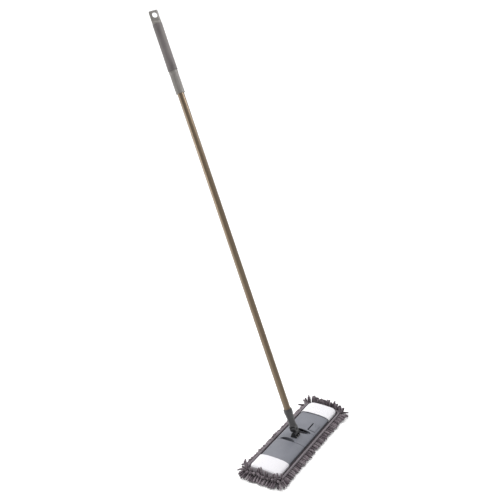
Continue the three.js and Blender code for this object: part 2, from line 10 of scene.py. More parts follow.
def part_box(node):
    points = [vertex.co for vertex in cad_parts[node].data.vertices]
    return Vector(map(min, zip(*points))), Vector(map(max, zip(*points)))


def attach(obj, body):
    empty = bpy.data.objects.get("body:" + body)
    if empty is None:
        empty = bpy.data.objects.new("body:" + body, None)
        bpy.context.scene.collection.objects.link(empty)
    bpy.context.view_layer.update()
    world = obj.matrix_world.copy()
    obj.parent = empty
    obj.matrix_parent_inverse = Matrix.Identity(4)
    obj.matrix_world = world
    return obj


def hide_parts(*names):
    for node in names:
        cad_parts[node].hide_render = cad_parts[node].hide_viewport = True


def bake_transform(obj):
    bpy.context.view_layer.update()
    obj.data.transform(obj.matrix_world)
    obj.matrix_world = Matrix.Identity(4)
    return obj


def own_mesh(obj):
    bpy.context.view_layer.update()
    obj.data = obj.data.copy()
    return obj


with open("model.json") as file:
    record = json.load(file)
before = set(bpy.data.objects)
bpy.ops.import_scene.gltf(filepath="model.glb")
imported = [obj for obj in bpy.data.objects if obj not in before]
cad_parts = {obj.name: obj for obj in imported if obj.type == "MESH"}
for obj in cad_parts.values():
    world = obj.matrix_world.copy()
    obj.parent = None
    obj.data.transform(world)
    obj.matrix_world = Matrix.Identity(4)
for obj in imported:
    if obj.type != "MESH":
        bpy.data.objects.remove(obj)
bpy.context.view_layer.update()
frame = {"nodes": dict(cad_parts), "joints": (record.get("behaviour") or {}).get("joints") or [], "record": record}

MM = 0.001
SCENE = bpy.context.scene
JOINTS = {joint["name"]: joint for joint in frame["joints"]}
HALVES = {"far": 1, "near": -1}  # the pad's two halves, and the side of the joint they lie on

# The pole's own axes: up along the tubes, and y along the fork's pin.
POLE_UP = -Vector(JOINTS["telescope"]["axis"])
POLE_Y = Vector(JOINTS["fork_tilt"]["axis"])
POLE_X = POLE_Y.cross(POLE_UP)
POLE_FOOT = Vector(JOINTS["fork_tilt"]["pos_m"])
POLE = Matrix((POLE_X, POLE_Y, POLE_UP)).transposed().to_4x4()
POLE.translation = POLE_FOOT

# ---------------------------------------------------------------- camera, light and floor

VIEW_YAW = math.radians(60)
VIEW_PITCH = math.radians(20.8)
VIEW_DISTANCE = 2.524
VIEW_RIGHT = 0.1415
VIEW_UP = 0.6026
LENS = 58.2
FLOOR_HALF = 90  # metres, so that its edge stays out of sight


def make_camera():
    ahead = Vector((
        math.sin(VIEW_YAW) * math.cos(VIEW_PITCH),
        math.cos(VIEW_YAW) * math.cos(VIEW_PITCH),
        -math.sin(VIEW_PITCH),
    ))
    right = Vector((math.cos(VIEW_YAW), -math.sin(VIEW_YAW), 0))
    up = right.cross(ahead)
    camera = bpy.data.objects.new("camera", bpy.data.cameras.new("camera"))
    camera.data.lens = LENS
    camera.rotation_mode = "QUATERNION"
    camera.rotation_quaternion = ahead.to_track_quat("-Z", "Y")
    camera.location = -ahead * VIEW_DISTANCE - right * VIEW_RIGHT + up * VIEW_UP
    SCENE.collection.objects.link(camera)
    SCENE.camera = camera


def softbox(name, place, aim, size, power):
    lamp = bpy.data.lights.new(name, "AREA")
    lamp.shape = "RECTANGLE"
    lamp.size, lamp.size_y = size
    lamp.energy = power
    box = bpy.data.objects.new(name, lamp)
    box.location = place
    box.rotation_mode = "QUATERNION"
    box.rotation_quaternion = (Vector(aim) - Vector(place)).to_track_quat("-Z", "Y")
    SCENE.collection.objects.link(box)


def make_studio(dim, bright):
    """White walls and ceiling whose light rises smoothly from the view's left to its right."""
    world = SCENE.world or bpy.data.worlds.new("world")
    SCENE.world = world
    world.use_nodes = True
    tree = world.node_tree
    where = tree.nodes.new("ShaderNodeTexCoord")
    side = tree.nodes.new("ShaderNodeVectorMath")
    side.operation = "DOT_PRODUCT"
    side.inputs[1].default_value = (math.cos(VIEW_YAW), -math.sin(VIEW_YAW), 0.15)
    tree.links.new(where.outputs["Generated"], side.inputs[0])
    level = tree.nodes.new("ShaderNodeMapRange")
    level.interpolation_type = "SMOOTHSTEP"
    for socket, value in (("From Min", -0.9), ("From Max", 0.9), ("To Min", dim), ("To Max", bright)):
        level.inputs[socket].default_value = value
    tree.links.new(side.outputs["Value"], level.inputs["Value"])
    tree.links.new(level.outputs["Result"], tree.nodes["Background"].inputs["Strength"])
    tree.nodes["Background"].inputs["Color"].default_value = (1, 1, 1, 1)


def wide_sun(name, source, spread, power):
    """Even light from the direction source, softened over spread degrees."""
    lamp = bpy.data.lights.new(name, "SUN")
    lamp.energy = power
    lamp.angle = math.radians(spread)
    sun = bpy.data.objects.new(name, lamp)
    sun.rotation_mode = "QUATERNION"
    sun.rotation_quaternion = Vector(source).to_track_quat("Z", "Y")
    SCENE.collection.objects.link(sun)


def make_lights():
    wide_sun("ceiling", (0.1, 0.58, 0.81), 70, 3.3)
    softbox("left_softbox", (-1.0, 1.5, 0.45), (0, 0.1, 0.2), (0.5, 0.7), 7)
    softbox("right_softbox", (0.55, -0.45, 1.8), (0.08, 0.44, 1.08), (0.4, 0.7), 10)
    make_studio(0.34, 0.66)
    SCENE.view_settings.view_transform = "Standard"


def make_floor():
    corners = [(x * FLOOR_HALF, y * FLOOR_HALF, 0) for x, y in ((-1, -1), (1, -1), (1, 1), (-1, 1))]
    mesh = bpy.data.meshes.new("floor")
    mesh.from_pydata(corners, [], [(0, 1, 2, 3)])
    floor = bpy.data.objects.new("floor", mesh)
    paper = Shader("floor_paper", (0.93, 0.93, 0.93), 0.9)
    mesh.materials.append(paper.material)
    SCENE.collection.objects.link(floor)


# ---------------------------------------------------------------- shader nodes


class Shader:
    """A material round one Principled BSDF, with short names for the nodes it uses."""

    def __init__(self, name, color, roughness, metallic=0.0, **sockets):
        self.material = bpy.data.materials.new(name)
        self.material.use_nodes = True
        self.tree = self.material.node_tree
        self.bsdf = self.tree.nodes["Principled BSDF"]
        self.bsdf.inputs["Base Color"].default_value = (*color, 1)
        self.bsdf.inputs["Roughness"].default_value = roughness
        self.bsdf.inputs["Metallic"].default_value = metallic
        for socket, value in sockets.items():
            self.bsdf.inputs[socket.replace("_", " ")].default_value = value
        self.bumps = []

    def node(self, kind, inputs=(), **settings):
        made = self.tree.nodes.new("ShaderNode" + kind)
        for key, value in settings.items():
            setattr(made, key, value)
        for socket, value in dict(inputs).items():
            if isinstance(value, bpy.types.NodeSocket):
                self.tree.links.new(value, made.inputs[socket])
            else:
                made.inputs[socket].default_value = value
        return made

    def place(self, scale=(1, 1, 1)):
        """Row-frame coordinates in metres, stretched."""
        where = self.node("TexCoord").outputs["Object"]
        return self.node("Mapping", {"Vector": where, "Scale": scale}).outputs["Vector"]

    def place_on_pole(self, scale=(1, 1, 1)):
        """Coordinates along the pole's own axes, stretched."""
        where = self.node("TexCoord").outputs["Object"]
        turned = self.node("CombineXYZ")
        for letter, axis in zip("XYZ", (POLE_X, POLE_Y, POLE_UP)):
            along = self.node("VectorMath", {0: where, 1: axis}, operation="DOT_PRODUCT")
            self.tree.links.new(along.outputs["Value"], turned.inputs[letter])
        return self.node("Mapping", {"Vector": turned.outputs[0], "Scale": scale}).outputs["Vector"]

    def noise(self, scale, detail=2.0, where=None, roughness=0.5):
        where = where or self.place()
        inputs = {"Vector": where, "Scale": scale, "Detail": detail, "Roughness": roughness}
        return self.node("TexNoise", inputs).outputs["Fac"]

    def ramp(self, value, stops):
        """Colours at positions from 0 to 1; a number stands for a grey."""
        made = self.node("ValToRGB", {"Fac": value})
        elements = made.color_ramp.elements
        while len(elements) < len(stops):
            elements.new(0.5)
        for element, (position, color) in zip(elements, stops):
            element.position = position
            element.color = (color,) * 3 + (1,) if isinstance(color, (int, float)) else (*color, 1)
        return made.outputs["Color"]

    def math(self, operation, a, b=0.0):
        return self.node("Math", {0: a, 1: b}, operation=operation).outputs[0]

    def mix(self, share, a, b, blend="MIX"):
        made = self.node("Mix", data_type="RGBA", blend_type=blend)
        for socket, value in ((made.inputs[0], share), (made.inputs[6], a), (made.inputs[7], b)):
            if isinstance(value, bpy.types.NodeSocket):
                self.tree.links.new(value, socket)
            else:
                socket.default_value = value if isinstance(value, (int, float)) else (*value, 1)
        return made.outputs[2]

    def color(self, output):
        self.tree.links.new(output, self.bsdf.inputs["Base Color"])

    def roughness(self, output):
        self.tree.links.new(output, self.bsdf.inputs["Roughness"])

    def bump(self, height, distance, strength=1.0):
        """Adds one layer of relief, distance in metres, over the layers before it."""
        made = self.node("Bump", {"Height": height, "Distance": distance, "Strength": strength})
        if self.bumps:
            self.tree.links.new(self.bumps[-1].outputs["Normal"], made.inputs["Normal"])
        self.tree.links.new(made.outputs["Normal"], self.bsdf.inputs["Normal"])
        self.bumps.append(made)


def bronze_paint():
    """Metallic paint with drawn streaks along the tube and a few rubbed patches."""
    s = Shader("bronze_paint", (0.27, 0.205, 0.135), 0.32, 0.85, Coat_Weight=0.1)
    streaks = s.noise(1, 3, s.place_on_pole((420, 420, 2.5)))
    clouds = s.noise(1, 2, s.place_on_pole((16, 16, 5)))
    drawn = s.ramp(streaks, [(0.3, (0.15, 0.113, 0.076)), (0.7, (0.215, 0.167, 0.117))])
    s.color(s.mix(s.ramp(clouds, [(0.35, 0), (0.75, 0.45)]), drawn, (0.19, 0.136, 0.092)))
    s.roughness(s.ramp(streaks, [(0.25, 0.27), (0.75, 0.4)]))
    s.bump(streaks, 0.02 * MM)
    return s.material


def bright_steel():
    s = Shader("bright_steel", (0.56, 0.56, 0.55), 0.28, 1.0)
    s.roughness(s.ramp(s.noise(900, 3), [(0.3, 0.2), (0.7, 0.38)]))
    return s.material


def moulded(name, color, roughness, grain=0.05, worn=1.25, spread=0.08):
    """Moulded plastic: fine spark-eroded grain, faint clouding and a few hairline scuffs."""
    s = Shader(name, color, roughness)
    grains = s.noise(2600, 3)
    clouds = s.noise(22, 3)
    scuffs = s.noise(1, 4, s.place((90, 900, 300)), 0.6)
    shade = [tuple(c * k for c in color) for k in (1 - spread, 1 + spread)]
    clouded = s.ramp(clouds, [(0.3, shade[0]), (0.7, shade[1])])
    scuffed = tuple(min(c * worn, 1) for c in color)
    s.color(s.mix(s.ramp(scuffs, [(0.66, 0), (0.72, 0.5)]), clouded, scuffed))
    s.roughness(s.ramp(grains, [(0.25, roughness - 0.08), (0.75, roughness + 0.1)]))
    s.bump(grains, grain * MM)
    return s.material


def grip_rubber():
    """Soft-touch rubber with a pebbled skin and hand-darkened patches."""
    s = Shader("grip_rubber", (0.155, 0.137, 0.138), 0.62, Sheen_Weight=0.12)
    pebbles = s.node("TexVoronoi", {"Vector": s.place(), "Scale": 900}).outputs["Distance"]
    patches = s.noise(1, 3, s.place_on_pole((45, 45, 14)))
    darkened, used, clean = (0.082, 0.072, 0.072), (0.125, 0.11, 0.11), (0.16, 0.147, 0.14)
    s.color(s.ramp(patches, [(0.3, darkened), (0.5, used), (0.72, clean)]))
    s.roughness(s.ramp(patches, [(0.3, 0.5), (0.7, 0.7)]))
    s.bump(pebbles, 0.12 * MM)
    return s.material


def chenille():
    """Nubby microfibre pile. The mesh's own 'shade' value makes one tuft lighter than the next, and where it is
    near zero it is painted shade between the fingers.
    """
    s = Shader("chenille", (0.15, 0.125, 0.14), 0.95, Sheen_Weight=0.35, Sheen_Roughness=0.5)
    tuft = s.node("Attribute", attribute_name="shade").outputs["Fac"]
    nubs = s.noise(520, 3, roughness=0.65)
    fibres = s.noise(2400, 2)
    dark, middle, light = (0.034, 0.022, 0.03), (0.13, 0.098, 0.117), (0.25, 0.212, 0.232)
    yarn = s.ramp(tuft, [(0, dark), (0.5, middle), (1, light)])
    # The nubs' low spots are mixed towards near black: painted shade in the crevices of the pile.
    s.color(s.mix(s.ramp(nubs, [(0.36, 0.62), (0.6, 0)]), yarn, (0.022, 0.015, 0.021)))
    s.bump(nubs, 0.9 * MM)
    s.bump(fibres, 0.25 * MM)
    return s.material


def woven(name, color, pitch, relief, shade=0.75, roughness=0.9, sheen=0.2):
    """Plain-woven cloth: crossing threads at the given pitch, with slubs and faint soiling."""
    s = Shader(name, color, roughness, Sheen_Weight=sheen, Sheen_Roughness=0.4)
    scale = math.pi / 10 / pitch
    place = s.place()
    warp, weft = (
        s.node("TexWave", {"Vector": place, "Scale": scale, "Distortion": 0.6, "Detail": 1.0},
               bands_direction=axis).outputs["Fac"]
        for axis in "XY"
    )
    threads = s.math("MULTIPLY", warp, weft)
    slubs = s.noise(1, 2, s.place((60, 700, 300)))
    dark = tuple(c * shade for c in color)
    crossed = s.ramp(threads, [(0.0, dark), (0.6, color)])
    s.color(s.mix(s.ramp(slubs, [(0.3, 0), (0.75, 0.6)]), crossed, color))
    s.bump(threads, relief * MM)
    s.bump(slubs, relief * MM)
    return s.material


def sewing_thread(name, color):
    s = Shader(name, color, 0.6, Sheen_Weight=0.3)
    s.bump(s.noise(4000, 1), 0.1 * MM)
    return s.material


def make_materials():
    return {
        "bronze_tube": bronze_paint(),
        "steel": bright_steel(),
        "frame_plastic": moulded("frame_plastic", (0.135, 0.14, 0.162), 0.34),
        "black_plastic": moulded("black_plastic", (0.014, 0.014, 0.016), 0.36, worn=3.0),
        "dark_plastic": moulded("dark_plastic", (0.05, 0.05, 0.052), 0.45),
        "ferrule_plastic": moulded("ferrule_plastic", (0.048, 0.047, 0.049), 0.34, worn=1.8),
        "cap_plastic": moulded("cap_plastic", (0.18, 0.168, 0.156), 0.4),
        "grip_rubber": grip_rubber(),
        "chenille": chenille(),
        "binding_cloth": woven("binding_cloth", (0.16, 0.138, 0.153), 0.9 * MM, 0.2),
        "pocket_cloth": woven("pocket_cloth", (0.655, 0.645, 0.672), 0.8 * MM, 0.14, shade=0.9),
        # Near black: painted shade for the trench between the frame and the binding.
        "backing_cloth_painted_shade": woven("backing_cloth_painted_shade", (0.042, 0.034, 0.04), 1.1 * MM, 0.25),
        "grey_thread": sewing_thread("grey_thread", (0.23, 0.2, 0.22)),
        "white_thread": sewing_thread("white_thread", (0.72, 0.71, 0.735)),
    }


# ---------------------------------------------------------------- mesh helpers


SHARP = 38         # degrees of turn above which an edge stays hard
SHARP_PILE = 120   # the same for tufts, which look soft all round


def add_piece(name, points, faces, body, slot, material=None, sharp=SHARP, replaces=()):
    """A mesh piece in the row frame. body is a CAD body, or None to leave the piece unattached.
    Edges that turn by more than sharp degrees stay hard."""
    mesh = bpy.data.meshes.new(name)
    mesh.from_pydata([tuple(p) for p in points], [], [tuple(f) for f in faces])
    mesh.polygons.foreach_set("use_smooth", [True] * len(mesh.polygons))
    mesh.materials.append(material or MATERIALS[slot])
    mesh.validate()
    mesh.set_sharp_from_angle(angle=math.radians(sharp))
    piece = bpy.data.objects.new(name, mesh)
    SCENE.collection.objects.link(piece)
    if replaces:
        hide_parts(*replaces)
    if body:
        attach(piece, body)
    return piece


def grid_faces(rows, columns, wrap=False):
    """Quads of a rows by columns grid of points; wrap joins the last column to the first."""
    across = columns if wrap else columns - 1
    return [
        (r * columns + c, r * columns + (c + 1) % columns,
         (r + 1) * columns + (c + 1) % columns, (r + 1) * columns + c)
        for r in range(rows - 1) for c in range(across)
    ]


def on_pole(node):
    """A CAD node's lowest and highest station and its largest radius, in the pole's own axes."""
    back = POLE.inverted()
    local = [back @ v.co for v in frame["nodes"][node].data.vertices]
    stations = [p.z for p in local]
    return min(stations), max(stations), max(math.hypot(p.x, p.y) for p in local)


def turned(name, loop, body, slot, replaces=(), sides=72, relief=None):
    """A body of revolution about the pole from a closed loop of (radius, station) points.
    relief(angle, radius, station) gives extra radius."""
    points = []
    for radius, station in loop:
        for i in range(sides):
            angle = 2 * math.pi * i / sides
            r = radius + (relief(angle, radius, station) if relief else 0)
            points.append(POLE @ Vector((r * math.cos(angle), r * math.sin(angle), station)))
    faces = grid_faces(len(loop), sides, wrap=True)
    last = (len(loop) - 1) * sides
    faces += [(last + i, last + (i + 1) % sides, (i + 1) % sides, i) for i in range(sides)]
    return add_piece(name, points, faces, body, slot, replaces=replaces)


def smooth_steps(low, high, count):
    return [low + (high - low) * i / count for i in range(count + 1)]


# ---------------------------------------------------------------- pole sleeves and tubes


def thin_wall(outside, bore):
    """The closed section of a sleeve: its outside from the bottom up, then its straight bore."""
    return outside + [(bore, outside[-1][1]), (bore, outside[0][1])]


TUBE_WALL = 0.8 * MM
FLUTES = 24
FLUTE_FADE = 4 * MM


def make_tube(node, body):
    low, high, radius = on_pole(node)
    soft = 0.25 * MM
    outside = [(radius - soft, low), (radius, low + soft), (radius, high - soft), (radius - soft, high)]
    turned(node + "_drawn", thin_wall(outside, radius - TUBE_WALL), body, "bronze_tube", [node])


def make_collar():
    """The twist lock: a flared foot, shallow flutes for the fingers and a plain upper rim."""
    low, high, radius = on_pole("lock_collar")
    profile = [(0, -0.9), (0.5, -0.2), (1.6, 0), (3.2, 0), (4.4, -0.4), (6, -0.5)]
    outside = [(radius + r * MM, low + z * MM) for z, r in profile]
    outside += [(radius - 0.5 * MM, z) for z in smooth_steps(low + 8 * MM, high - 13 * MM, 24)]
    rim = ((11, 0.5), (9.6, 0), (1, 0), (0.3, 0.3), (0, 0.9))
    outside += [(radius - r * MM, high - z * MM) for z, r in rim]

    def flutes(angle, r, station):
        if r < radius - 0.6 * MM or not low + 7.5 * MM < station < high - 12 * MM:
            return 0
        fade = min((station - low - 7.5 * MM) / FLUTE_FADE, (high - 12 * MM - station) / FLUTE_FADE, 1)
        return -0.45 * MM * fade * max(math.cos(FLUTES * angle), 0)

    loop = thin_wall(outside, radius - 1.6 * MM)
    turned("lock_collar_fluted", loop, "twist_lock", "cap_plastic", ["lock_collar"], 192, flutes)


def make_grip():
    """The rubber sleeve: slightly waisted, rounded off at each end, with two groups of three narrow grooves."""
    low, high, radius = on_pole("grip_sleeve")
    middle = (low + high) / 2
    half = (high - low) / 2
    grooves = [middle + side * half * 0.84 + k * 2.2 * MM for side in (-1, 1) for k in (-1, 0, 1)]

    def sleeve(station):
        along = abs(station - middle) / half
        waist = 0.4 * MM * (1 - along ** 2)
        end = 1.0 * MM * max(0, (along - 0.985) / 0.015) ** 2
        cut = sum(0.35 * MM * math.exp(-((station - g) / (0.45 * MM)) ** 2) for g in grooves)
        return radius - waist - end - cut

    outside = [(sleeve(z), z) for z in smooth_steps(low, high, 420)]
    loop = thin_wall(outside, on_pole("grip_core")[2] + 0.1 * MM)
    turned("grip_rubber_sleeve", loop, "upper_pole", "grip_rubber", ["grip_sleeve"], 96)


# ---------------------------------------------------------------- the pad's outline


class Edge:
    """Half of the pad's outline, from y < 0 on the fold's middle line round the end to y > 0.
    Lengths are in mm and x is the distance from the middle line, on either side."""

    def __init__(self, half_x, half_y, corner):
        self.half_x, self.half_y, self.corner = half_x, half_y, corner
        self.side = half_x - corner
        self.turn = corner * math.pi / 2
        self.end = 2 * (half_y - corner)
        self.length = 2 * self.side + 2 * self.turn + self.end

    def at(self, s):
        """Position (x, y) and outward normal (x, y) at distance s along the half outline."""
        if s > self.length / 2:
            (x, y), (a, b) = self.at(self.length - s)
            return (x, -y), (a, -b)
        if s < self.side:
            return (s, -self.half_y), (0, -1)
        if s < self.side + self.turn:
            angle = (s - self.side) / self.corner
            a, b = math.sin(angle), -math.cos(angle)
            middle = (self.half_x - self.corner, -(self.half_y - self.corner))
            return (middle[0] + self.corner * a, middle[1] + self.corner * b), (a, b)
        return (self.half_x, -(self.half_y - self.corner) + s - self.side - self.turn), (1, 0)


PAD_LOW, PAD_HIGH = (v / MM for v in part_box("pad_far"))
POCKET_LOW, POCKET_HIGH = (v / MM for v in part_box("pocket_far"))
WING_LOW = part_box("far_wing")[0] / MM
PAD_EDGE = Edge(PAD_HIGH[0], PAD_HIGH[1], 18)


def facing_out(side, faces):
    """Faces listed for the side x > 0, turned round where the mesh is mirrored to x < 0."""
    return faces if side > 0 else [tuple(reversed(face)) for face in faces]


def half_piece(half, name, points, faces, slot, material=None, sharp=SHARP, replaces=()):
    """A piece of one half of the pad, in mm, mirrored to its side."""
    side = HALVES[half]
    placed = [(side * p[0] * MM, p[1] * MM, p[2] * MM) for p in points]
    faces = facing_out(side, faces)
    return add_piece(f"{name}_{half}", placed, faces, None, slot, material, sharp, replaces)


def bend(piece):
    """Bakes the piece's placement into its mesh."""
    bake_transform(piece)


def closed_tube_faces(rings, sides):
    faces = grid_faces(rings, sides, wrap=True)
    last = (rings - 1) * sides
    return faces + [tuple(reversed(range(sides))), tuple(last + i for i in range(sides))]


def make_backing(half):
    """The pad's stiff cloth, coloured near black as painted shade in the gap between the frame and the binding."""
    rings, across = 56, 17
    low, high = PAD_LOW[2] + 0.1, PAD_HIGH[2]
    edge = Edge(PAD_EDGE.half_x - 2.4, PAD_EDGE.half_y - 2.4, PAD_EDGE.corner - 2.4)
    rows = [edge.at(edge.length / 2 * i / rings)[0] for i in range(rings + 1)]
    points = []
    for x, y in rows:
        for k in range(across):
            points.append((x, y * (1 - 2 * k / (across - 1)), high))
    points += [(x, y, low) for x, y, _ in points]
    top = grid_faces(rings + 1, across)
    shift = (rings + 1) * across
    faces = top + [tuple(v + shift for v in reversed(f)) for f in top]
    rim = [r * across for r in range(rings)] + [rings * across + k for k in range(across)]
    rim += [r * across + across - 1 for r in reversed(range(rings))] + list(reversed(range(1, across - 1)))
    faces += [(b, a, a + shift, b + shift) for a, b in zip(rim, rim[1:] + rim[:1])]
    replaced = [f"pad_{half}"] + (["pad_centre"] if half == "far" else [])
    cloth = MATERIALS["backing_cloth_painted_shade"]
    return half_piece(half, "pad_backing", points, faces, "binding_cloth", cloth, replaces=replaced)


STITCH_PITCH = 2.6  # mm along the binding's seam
TAPE_INSET = 2.9    # mm from the pad's outline in to the tape's middle
TAPE_HEIGHT = 16.2


def make_binding(half):
    """Folded tape round the pad's edge, drawn in a little at each stitch."""
    sides = 16
    count = int(PAD_EDGE.length / (STITCH_PITCH / 4))
    points = []
    for i in range(count + 1):
        s = PAD_EDGE.length * i / count
        (x, y), (a, b) = PAD_EDGE.at(s)
        pucker = 0.22 * math.cos(2 * math.pi * s / STITCH_PITCH)
        pucker += 0.25 * math.sin(s / 13.7) * math.sin(s / 5.3)
        for k in range(sides):
            angle = 2 * math.pi * k / sides
            out, up = math.cos(angle), math.sin(angle)
            out = math.copysign(abs(out) ** 0.8, out) * (3.15 + 0.12 * pucker)
            up = math.copysign(abs(up) ** 0.8, up) * (3.0 + 0.3 * pucker)
            if out < 0:
                up *= 0.78 + 0.06 * pucker
            points.append((x + a * (out - TAPE_INSET), y + b * (out - TAPE_INSET), TAPE_HEIGHT + up))
    replaced = [f"binding_{half}"]
    if half == "far":
        replaced += ["binding_centre_left", "binding_centre_right"]
    faces = closed_tube_faces(count + 1, sides)
    return half_piece(half, "binding_tape", points, faces, "binding_cloth", replaces=replaced)


def seam(stations, length=1.7, radius=0.28):
    """Stitches as short thread capsules; a station is (point, direction, up), all in mm."""
    points, faces = [], []
    profile = ((-0.5, 0.3), (-0.36, 0.9), (0, 1), (0.36, 0.9), (0.5, 0.3))
    sides = 6
    for point, direction, up in stations:
        across = direction.cross(up)
        base = len(points)
        for along, share in profile:
            centre = point + direction * along * length
            for k in range(sides):
                angle = 2 * math.pi * k / sides
                ring = across * math.cos(angle) + up * math.sin(angle)
                points.append(centre + ring * radius * share)
        faces += [tuple(base + v for v in face) for face in closed_tube_faces(len(profile), sides)]
    return points, faces


def make_binding_seam(half):
    inward, height = 4.6, 18.1
    stations = []
    for i in range(int(PAD_EDGE.length / STITCH_PITCH)):
        (x, y), (a, b) = PAD_EDGE.at((i + 0.5) * STITCH_PITCH)
        spot = Vector((x - a * inward, y - b * inward, height))
        stations.append((spot, Vector((-b, a, 0)), Vector((0, 0, 1))))
    points, faces = seam(stations)
    return half_piece(half, "binding_seam", points, faces, "binding_cloth", MATERIALS["grey_thread"])


# ---------------------------------------------------------------- chenille tufts


FLOOR_GAP = 0.3    # mm that tufts lying on the floor stay above it
END_ROOT = 12      # mm, where the standing tufts leave the pad


def tuft_mesh(paths, radii, sides, rng):
    """Points and faces of nubby round-ended tufts along paths (tufts, rings, 3) in mm."""
    tufts, rings = paths.shape[:2]
    along = np.gradient(paths, axis=1)
    along /= np.linalg.norm(along, axis=2, keepdims=True)
    level = np.cross(along.mean(axis=1), (0.13, 0.21, 1.0))
    level = np.repeat(level[:, None, :], rings, axis=1)
    across = level - along * (level * along).sum(axis=2, keepdims=True)
    across /= np.linalg.norm(across, axis=2, keepdims=True)
    over = np.cross(across, along)
    t = np.linspace(0, 1, rings)
    ends = np.minimum(1, np.sqrt(np.clip(1 - ((t - 0.82) / 0.185).clip(0, 1) ** 2, 0.02, 1)))
    ends *= np.minimum(1, 0.55 + t * 4)
    angle = np.linspace(0, 2 * math.pi, sides, endpoint=False)
    phase = rng.uniform(0, 2 * math.pi, (tufts, 4, 1, 1))
    turn, step = angle[None, None, :], (t * rings)[None, :, None]
    nubs = 0.09 * np.sin(2 * turn + 2.1 * step + phase[:, 0])
    nubs = nubs + 0.07 * np.sin(3 * turn - 1.7 * step + phase[:, 1])
    nubs += 0.06 * np.sin(1.1 * step + phase[:, 2]) * np.sin(turn + phase[:, 3])
    size = radii[:, None, None] * ends[None, :, None] * (1 + nubs)
    ring = across[:, :, None, :] * np.cos(turn)[..., None] + over[:, :, None, :] * np.sin(turn)[..., None]
    points = paths[:, :, None, :] + ring * size[..., None]
    height = points[..., 2]
    points[..., 2] = np.maximum(height, FLOOR_GAP + 0.15 * np.abs(height - FLOOR_GAP).clip(0, 1))
    one = np.array(grid_faces(rings, sides, wrap=True))
    shift = np.arange(tufts)[:, None] * rings * sides
    faces = [tuple(f) for f in (one[None] + shift[..., None]).reshape(-1, 4)]
    last = (rings - 1) * sides
    for base in shift[:, 0]:
        faces.append(tuple(int(base) + k for k in reversed(range(sides))))
        faces.append(tuple(int(base) + last + k for k in range(sides)))
    return points.reshape(-1, 3), faces


def curve(points, rings):
    """A smooth path of rings points through four control points (Bezier), for many tufts at once."""
    t = np.linspace(0, 1, rings)[None, :, None]
    a, b, c, d = (p[:, None, :] for p in points)
    return (1 - t) ** 3 * a + 3 * (1 - t) ** 2 * t * b + 3 * (1 - t) * t ** 2 * c + t ** 3 * d


def edge_frame(stations):
    """Points, outward normals and directions along the pad's edge as (n, 3) arrays in mm."""
    found = [PAD_EDGE.at(s) for s in stations]
    point = np.array([(x, y, 0) for (x, y), _ in found])
    out = np.array([(a, b, 0) for _, (a, b) in found])
    return point, out, np.stack([-out[:, 1], out[:, 0], np.zeros(len(found))], axis=1)


UP = np.array((0.0, 0.0, 1.0))


def fringe_row(rng, pitch, root, rise, reach, tip, first=0.0):
    """One layer of fringe all along the half edge."""
    stations = np.arange(first + pitch / 2, PAD_EDGE.length, pitch)
    stations = stations + rng.uniform(-0.22, 0.22, len(stations)) * pitch
    point, out, along = edge_frame(stations)
    n = len(stations)
    reach = (reach + rng.normal(0, 1.4, n))[:, None]
    to_end, to_side = out[:, :1], out[:, 1:2]
    reach = reach * (1 + 0.58 * to_end - 0.15 * to_side.clip(0, 1) + 0.7 * np.abs(to_end * to_side))
    lean = rng.normal(0, 2.6, n)[:, None]
    start = point + out * root + UP * rise
    knee = point + out * (root + reach * 0.42) + UP * (rise + 1.2) + along * lean * 0.3
    fall = point + out * (root + reach * 0.93) + UP * (rise * 0.75) + along * lean * 0.8
    drop = np.full((n, 1), tip) + rng.uniform(0, 0.9, (n, 1))
    end = point + out * (root + reach * 1.02) + UP * drop + along * lean
    return curve((start, knee, fall, end), 16)


def end_row(rng, root, height, spread, pitch, gaps):
    """Tufts that stand up in loose clusters at the pad's two ends and lean outward by spread."""
    low = PAD_EDGE.side + PAD_EDGE.turn * 0.4
    stations = np.arange(low, PAD_EDGE.length - low, pitch)
    stations = stations + rng.uniform(-0.2, 0.2, len(stations)) * pitch
    point, out, along = edge_frame(stations)
    n = len(stations)
    cluster = np.sin(stations / 8.5 + rng.uniform(0, 6))
    height = (height * (1 + gaps * cluster) + rng.normal(0, 2.6, n)).clip(7, 36)[:, None]
    away = (spread * (1 - 0.3 * cluster) + rng.normal(0, 2, n))[:, None]
    lean = (4 * np.cos(stations / 8.5) + rng.normal(0, 1.8, n))[:, None]
    start = point + out * root + UP * END_ROOT
    rise = point + out * (root + away * 0.15) + UP * (END_ROOT + height * 0.4) + along * lean * 0.1
    knee = point + out * (root + away * 0.6) + UP * (END_ROOT + height * 0.85) + along * lean * 0.6
    end = point + out * (root + away) + UP * (END_ROOT + height) + along * lean
    return curve((start, rise, knee, end), 16)


def strays(half):
    """Single fingers that stick out at the corners: (station share, root, middle, tip) in the
    edge's own directions out, along and up, in mm."""
    share = {
        "far": [
            (0.5 + 0.112, (0, 12), (9, 5, 22), (16, 12, 24)),
            (0.5 + 0.128, (0, 11), (9, 7, 14), (20, 19, 15)),
            (0.5 - 0.118, (0, 13), (6, -2, 26), (8, -4, 38)),
            (0.5 - 0.137, (0, 12), (12, 0, 19), (25, 3, 13)),
            (0.5 - 0.15, (0, 11), (12, 0, 15), (24, -3, 9)),
            (0.5 + 0.07, (0, 12), (5, 3, 27), (3, 5, 37)),
        ],
        "near": [
            (0.5 + 0.115, (0, 13), (5, 3, 26), (6, 4, 37)),
            (0.5 + 0.155, (0, 11), (12, 0, 12), (24, -6, 6)),
            (0.5 - 0.112, (0, 11), (15, 0, 11), (27, 2, 4)),
            (0.5 - 0.14, (0, 11), (13, 3, 13), (20, 9, 5)),
        ],
    }[half]
    point, out, along = edge_frame([PAD_EDGE.length * s[0] for s in share])

    def placed(values):
        sideways, onward, up = np.array(values, dtype=float).T[:, :, None]
        return point + out * sideways + along * onward + UP * up

    start = placed([(root[0], 0, root[1]) for _, root, _, _ in share])
    middle = placed([m for _, _, m, _ in share])
    end = placed([e for _, _, _, e in share])
    return curve((start, start + (middle - start) * 0.6, middle, end), 18)


